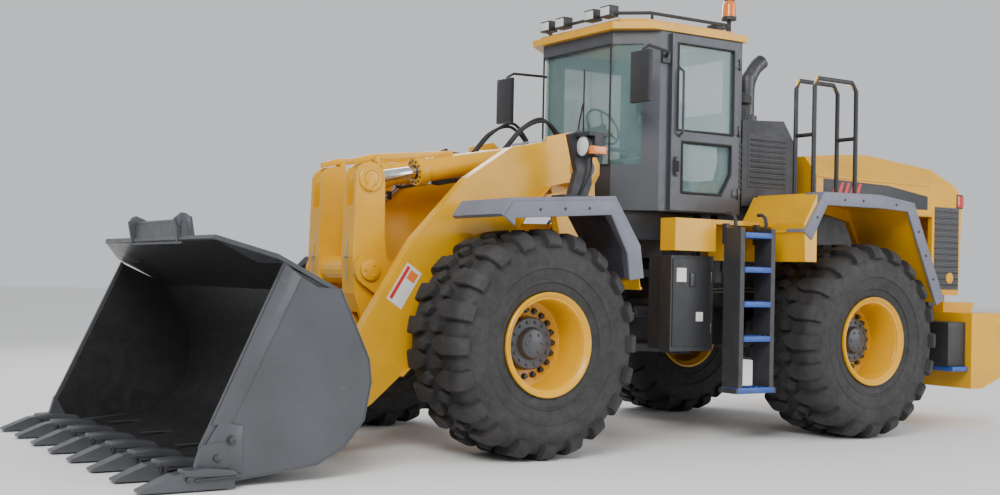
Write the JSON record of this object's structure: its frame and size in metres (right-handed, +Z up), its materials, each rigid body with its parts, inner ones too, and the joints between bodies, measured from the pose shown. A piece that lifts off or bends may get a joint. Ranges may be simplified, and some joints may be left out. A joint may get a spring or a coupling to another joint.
{
  "type": "wheel loader",
  "caption": "Articulated wheel loader with a toothed bucket on a bellcrank-linked lift boom, an enclosed cab, a tilting rear hood and large treaded tyres",
  "frame": {"origin": "bottom centre of the bounding box, on the ground between the axles", "axes": "+X forward toward the bucket, +Y to the machine's left, +Z up"},
  "size_m": [9.418, 3.6, 4.06],
  "materials": {
    "rear_frame": "satin enamel",
    "counterweight": "gloss enamel",
    "rear_axle": "satin enamel",
    "engine_block": "satin enamel",
    "deck_cover": "satin enamel",
    "exhaust_stack": "grained",
    "cab_shell": "satin enamel",
    "cab_roof": "gloss enamel",
    "roof_rail": "grained",
    "windscreen": "tinted",
    "right_window": "tinted",
    "rear_window": "tinted",
    "operator_seat": "woven",
    "steering_console": "grained",
    "side_box_left": "grained",
    "side_box_right": "grained",
    "platform_left": "gloss enamel",
    "platform_right": "gloss enamel",
    "ladder_left": "satin enamel",
    "ladder_right": "satin enamel",
    "mirror_left": "grained",
    "mirror_right": "grained",
    "hood": "gloss enamel",
    "cab_door": "satin enamel",
    "door_glass": "tinted",
    "front_frame": "gloss enamel",
    "front_axle": "satin enamel",
    "front_fender_left": "grained",
    "front_fender_right": "grained",
    "headlight_left": "satin enamel",
    "headlight_right": "satin enamel",
    "boom": "gloss enamel",
    "bucket_hinge_pin": "ground",
    "bellcrank_pin": "ground",
    "link_pin": "ground",
    "bellcranks": "gloss enamel",
    "bucket": "satin enamel",
    "cutting_edge": "satin enamel",
    "bucket_link_left": "gloss enamel",
    "lift_barrel_left": "gloss enamel",
    "lift_rod_left": "polished",
    "tilt_barrel_left": "gloss enamel",
    "tilt_rod_left": "polished",
    "steer_barrel_left": "gloss enamel",
    "steer_rod_left": "polished",
    "tyre_front_left": "moulded tread",
    "rim_front_left": "gloss enamel",
    "tyre_rear_left": "moulded tread",
    "rim_rear_left": "gloss enamel",
    "bucket_link_right": "gloss enamel",
    "lift_barrel_right": "gloss enamel",
    "lift_rod_right": "polished",
    "tilt_barrel_right": "gloss enamel",
    "tilt_rod_right": "polished",
    "steer_barrel_right": "gloss enamel",
    "steer_rod_right": "polished",
    "tyre_front_right": "moulded tread",
    "rim_front_right": "gloss enamel",
    "tyre_rear_right": "moulded tread",
    "rim_rear_right": "gloss enamel"
  },
  "bodies": {
    "rear_frame_body": {"rear_frame": "rear_frame", "counterweight": "counterweight", "rear_axle": "rear_axle", "engine_block": "engine_block", "deck_cover": "deck_cover", "exhaust_stack": "exhaust_stack", "cab_shell": "cab_shell", "cab_roof": "cab_roof", "roof_rail": "roof_rail", "windscreen": "windscreen", "right_window": "right_window", "rear_window": "rear_window", "operator_seat": "operator_seat", "steering_console": "steering_console", "side_box_left": "side_box_left", "side_box_right": "side_box_right", "platform_left": "platform_left", "platform_right": "platform_right", "ladder_left": "ladder_left", "ladder_right": "ladder_right", "mirror_left": "mirror_left", "mirror_right": "mirror_right"},
    "hood_body": {"hood": "hood"},
    "cab_door_body": {"cab_door": "cab_door", "door_glass": "door_glass"},
    "front_frame_body": {"front_frame": "front_frame", "front_axle": "front_axle", "front_fender_left": "front_fender_left", "front_fender_right": "front_fender_right", "headlight_left": "headlight_left", "headlight_right": "headlight_right"},
    "boom_body": {"boom": "boom"},
    "bucket_hinge_pin_body": {"bucket_hinge_pin": "bucket_hinge_pin"},
    "bellcrank_pin_body": {"bellcrank_pin": "bellcrank_pin"},
    "link_pin_body": {"link_pin": "link_pin"},
    "bellcranks_body": {"bellcranks": "bellcranks"},
    "bucket_body": {"bucket": "bucket", "cutting_edge": "cutting_edge"},
    "bucket_link_left_body": {"bucket_link_left": "bucket_link_left"},
    "lift_barrel_left_body": {"lift_barrel_left": "lift_barrel_left"},
    "lift_rod_left_body": {"lift_rod_left": "lift_rod_left"},
    "tilt_barrel_left_body": {"tilt_barrel_left": "tilt_barrel_left"},
    "tilt_rod_left_body": {"tilt_rod_left": "tilt_rod_left"},
    "steer_barrel_left_body": {"steer_barrel_left": "steer_barrel_left"},
    "steer_rod_left_body": {"steer_rod_left": "steer_rod_left"},
    "front_wheel_left": {"tyre_front_left": "tyre_front_left", "rim_front_left": "rim_front_left"},
    "rear_wheel_left": {"tyre_rear_left": "tyre_rear_left", "rim_rear_left": "rim_rear_left"},
    "bucket_link_right_body": {"bucket_link_right": "bucket_link_right"},
    "lift_barrel_right_body": {"lift_barrel_right": "lift_barrel_right"},
    "lift_rod_right_body": {"lift_rod_right": "lift_rod_right"},
    "tilt_barrel_right_body": {"tilt_barrel_right": "tilt_barrel_right"},
    "tilt_rod_right_body": {"tilt_rod_right": "tilt_rod_right"},
    "steer_barrel_right_body": {"steer_barrel_right": "steer_barrel_right"},
    "steer_rod_right_body": {"steer_rod_right": "steer_rod_right"},
    "front_wheel_right": {"tyre_front_right": "tyre_front_right", "rim_front_right": "rim_front_right"},
    "rear_wheel_right": {"tyre_rear_right": "tyre_rear_right", "rim_rear_right": "rim_rear_right"}
  },
  "joints": [
    {"name": "articulation", "type": "hinge", "parent": "rear_frame_body", "child": "front_frame_body", "pos_m": [-0.439, 0, 1.12], "axis": [0, 0, 1], "range_deg": [-38, 38]},
    {"name": "boom_lift", "type": "hinge", "parent": "front_frame_body", "child": "boom_body", "pos_m": [0.441, 0, 2.36], "axis": [0, -1, 0], "range_deg": [-2, 80]},
    {"name": "bucket_level", "type": "hinge", "parent": "boom_body", "child": "bucket_hinge_pin_body", "pos_m": [2.811, 0, 0.4], "axis": [0, -1, 0], "range_deg": [-80.5, 2.5]},
    {"name": "bucket_tilt", "type": "hinge", "parent": "bucket_hinge_pin_body", "child": "bucket_body", "pos_m": [2.811, 0, 0.4], "axis": [0, 1, 0], "range_deg": [-43, 50]},
    {"name": "bellcrank_shift", "type": "hinge", "parent": "boom_body", "child": "bellcrank_pin_body", "pos_m": [2.381, 0, 1.44], "axis": [0, -1, 0], "range_deg": [-0.63, 5.78]},
    {"name": "bellcrank_turn", "type": "hinge", "parent": "bellcrank_pin_body", "child": "bellcranks_body", "pos_m": [2.381, 0, 1.44], "axis": [0, 1, 0], "range_deg": [-14.85, 12.84]},
    {"name": "link_shift", "type": "hinge", "parent": "bucket_body", "child": "link_pin_body", "pos_m": [2.981, 0, 0.9], "axis": [0, -1, 0], "range_deg": [-1.44, 38.26]},
    {"name": "link_turn_left", "type": "hinge", "parent": "link_pin_body", "child": "bucket_link_left_body", "pos_m": [2.981, 0, 0.9], "axis": [0, 1, 0], "range_deg": [-31.65, 27.29]},
    {"name": "link_turn_right", "type": "hinge", "parent": "link_pin_body", "child": "bucket_link_right_body", "pos_m": [2.981, 0, 0.9], "axis": [0, 1, 0], "range_deg": [-31.65, 27.29]},
    {"name": "lift_swing_left", "type": "hinge", "parent": "front_frame_body", "child": "lift_barrel_left_body", "pos_m": [0.361, 0.485, 1.55], "axis": [0, -1, 0], "range_deg": [-2.07, 63.24]},
    {"name": "lift_extend_left", "type": "slide", "parent": "lift_barrel_left_body", "child": "lift_rod_left_body", "axis": [0.9934, 0, -0.1146], "range_m": [-0.0248, 0.9146]},
    {"name": "tilt_swing_left", "type": "hinge", "parent": "front_frame_body", "child": "tilt_barrel_left_body", "pos_m": [0.611, 0.3, 2.5], "axis": [0, -1, 0], "range_deg": [-2.7, 88.42]},
    {"name": "tilt_extend_left", "type": "slide", "parent": "tilt_barrel_left_body", "child": "tilt_rod_left_body", "axis": [0.9837, 0, -0.1799], "range_m": [-0.2263, 0.1949]},
    {"name": "steer_swing_left", "type": "hinge", "parent": "rear_frame_body", "child": "steer_barrel_left_body", "pos_m": [-1.019, 0.54, 1.12], "axis": [0, 0, 1], "range_deg": [-8.1, 8.1]},
    {"name": "steer_extend_left", "type": "slide", "parent": "steer_barrel_left_body", "child": "steer_rod_left_body", "axis": [0.9648, -0.2631, 0], "range_m": [-0.2368, 0.2368]},
    {"name": "lift_swing_right", "type": "hinge", "parent": "front_frame_body", "child": "lift_barrel_right_body", "pos_m": [0.361, -0.485, 1.55], "axis": [0, -1, 0], "range_deg": [-2.07, 63.24]},
    {"name": "lift_extend_right", "type": "slide", "parent": "lift_barrel_right_body", "child": "lift_rod_right_body", "axis": [0.9934, 0, -0.1146], "range_m": [-0.0248, 0.9146]},
    {"name": "tilt_swing_right", "type": "hinge", "parent": "front_frame_body", "child": "tilt_barrel_right_body", "pos_m": [0.611, -0.3, 2.5], "axis": [0, -1, 0], "range_deg": [-2.7, 88.42]},
    {"name": "tilt_extend_right", "type": "slide", "parent": "tilt_barrel_right_body", "child": "tilt_rod_right_body", "axis": [0.9837, 0, -0.1799], "range_m": [-0.2263, 0.1949]},
    {"name": "steer_swing_right", "type": "hinge", "parent": "rear_frame_body", "child": "steer_barrel_right_body", "pos_m": [-1.019, -0.54, 1.12], "axis": [0, 0, 1], "range_deg": [-8.1, 8.1]},
    {"name": "steer_extend_right", "type": "slide", "parent": "steer_barrel_right_body", "child": "steer_rod_right_body", "axis": [0.9648, 0.2631, 0], "range_m": [-0.2368, 0.2368]},
    {"name": "hood_tilt", "type": "hinge", "parent": "rear_frame_body", "child": "hood_body", "pos_m": [-4.379, 0, 1.5], "axis": [0, -1, 0], "range_deg": [0, 60]},
    {"name": "door_swing", "type": "hinge", "parent": "rear_frame_body", "child": "cab_door_body", "pos_m": [-1.279, 0.835, 2.83], "axis": [0, 0, 1], "range_deg": [0, 95]},
    {"name": "front_wheel_spin_left", "type": "hinge", "parent": "front_frame_body", "child": "front_wheel_left", "pos_m": [1.411, 1.22, 0.8923], "axis": [0, 1, 0], "continuous": true},
    {"name": "front_wheel_spin_right", "type": "hinge", "parent": "front_frame_body", "child": "front_wheel_right", "pos_m": [1.411, -1.22, 0.8923], "axis": [0, 1, 0], "continuous": true},
    {"name": "rear_wheel_spin_left", "type": "hinge", "parent": "rear_frame_body", "child": "rear_wheel_left", "pos_m": [-2.289, 1.22, 0.8923], "axis": [0, 1, 0], "continuous": true},
    {"name": "rear_wheel_spin_right", "type": "hinge", "parent": "rear_frame_body", "child": "rear_wheel_right", "pos_m": [-2.289, -1.22, 0.8923], "axis": [0, 1, 0], "continuous": true}
  ],
  "couplings": [
    {"joint": "bucket_level", "follows": "boom_lift", "ratio": -1},
    {"joint": "bellcrank_shift", "follows": "boom_lift", "ratio": 0.066},
    {"joint": "bellcrank_turn", "follows": "bucket_tilt", "ratio": -0.287},
    {"joint": "link_shift", "follows": "boom_lift", "ratio": 0.472},
    {"joint": "link_turn_left", "follows": "bucket_tilt", "ratio": -0.623},
    {"joint": "link_turn_right", "follows": "bucket_tilt", "ratio": -0.623},
    {"joint": "lift_swing_left", "follows": "boom_lift", "ratio": 0.7842},
    {"joint": "lift_extend_left", "follows": "boom_lift", "m_per_rad": 0.6536},
    {"joint": "tilt_swing_left", "follows": "boom_lift", "ratio": 1.099},
    {"joint": "tilt_extend_left", "follows": "bucket_tilt", "m_per_rad": -0.257},
    {"joint": "steer_swing_left", "follows": "articulation", "ratio": 0.2},
    {"joint": "steer_extend_left", "follows": "articulation", "m_per_rad": -0.354},
    {"joint": "lift_swing_right", "follows": "boom_lift", "ratio": 0.7842},
    {"joint": "lift_extend_right", "follows": "boom_lift", "m_per_rad": 0.6536},
    {"joint": "tilt_swing_right", "follows": "boom_lift", "ratio": 1.099},
    {"joint": "tilt_extend_right", "follows": "bucket_tilt", "m_per_rad": -0.257},
    {"joint": "steer_swing_right", "follows": "articulation", "ratio": 0.2},
    {"joint": "steer_extend_right", "follows": "articulation", "m_per_rad": 0.354}
  ]
}
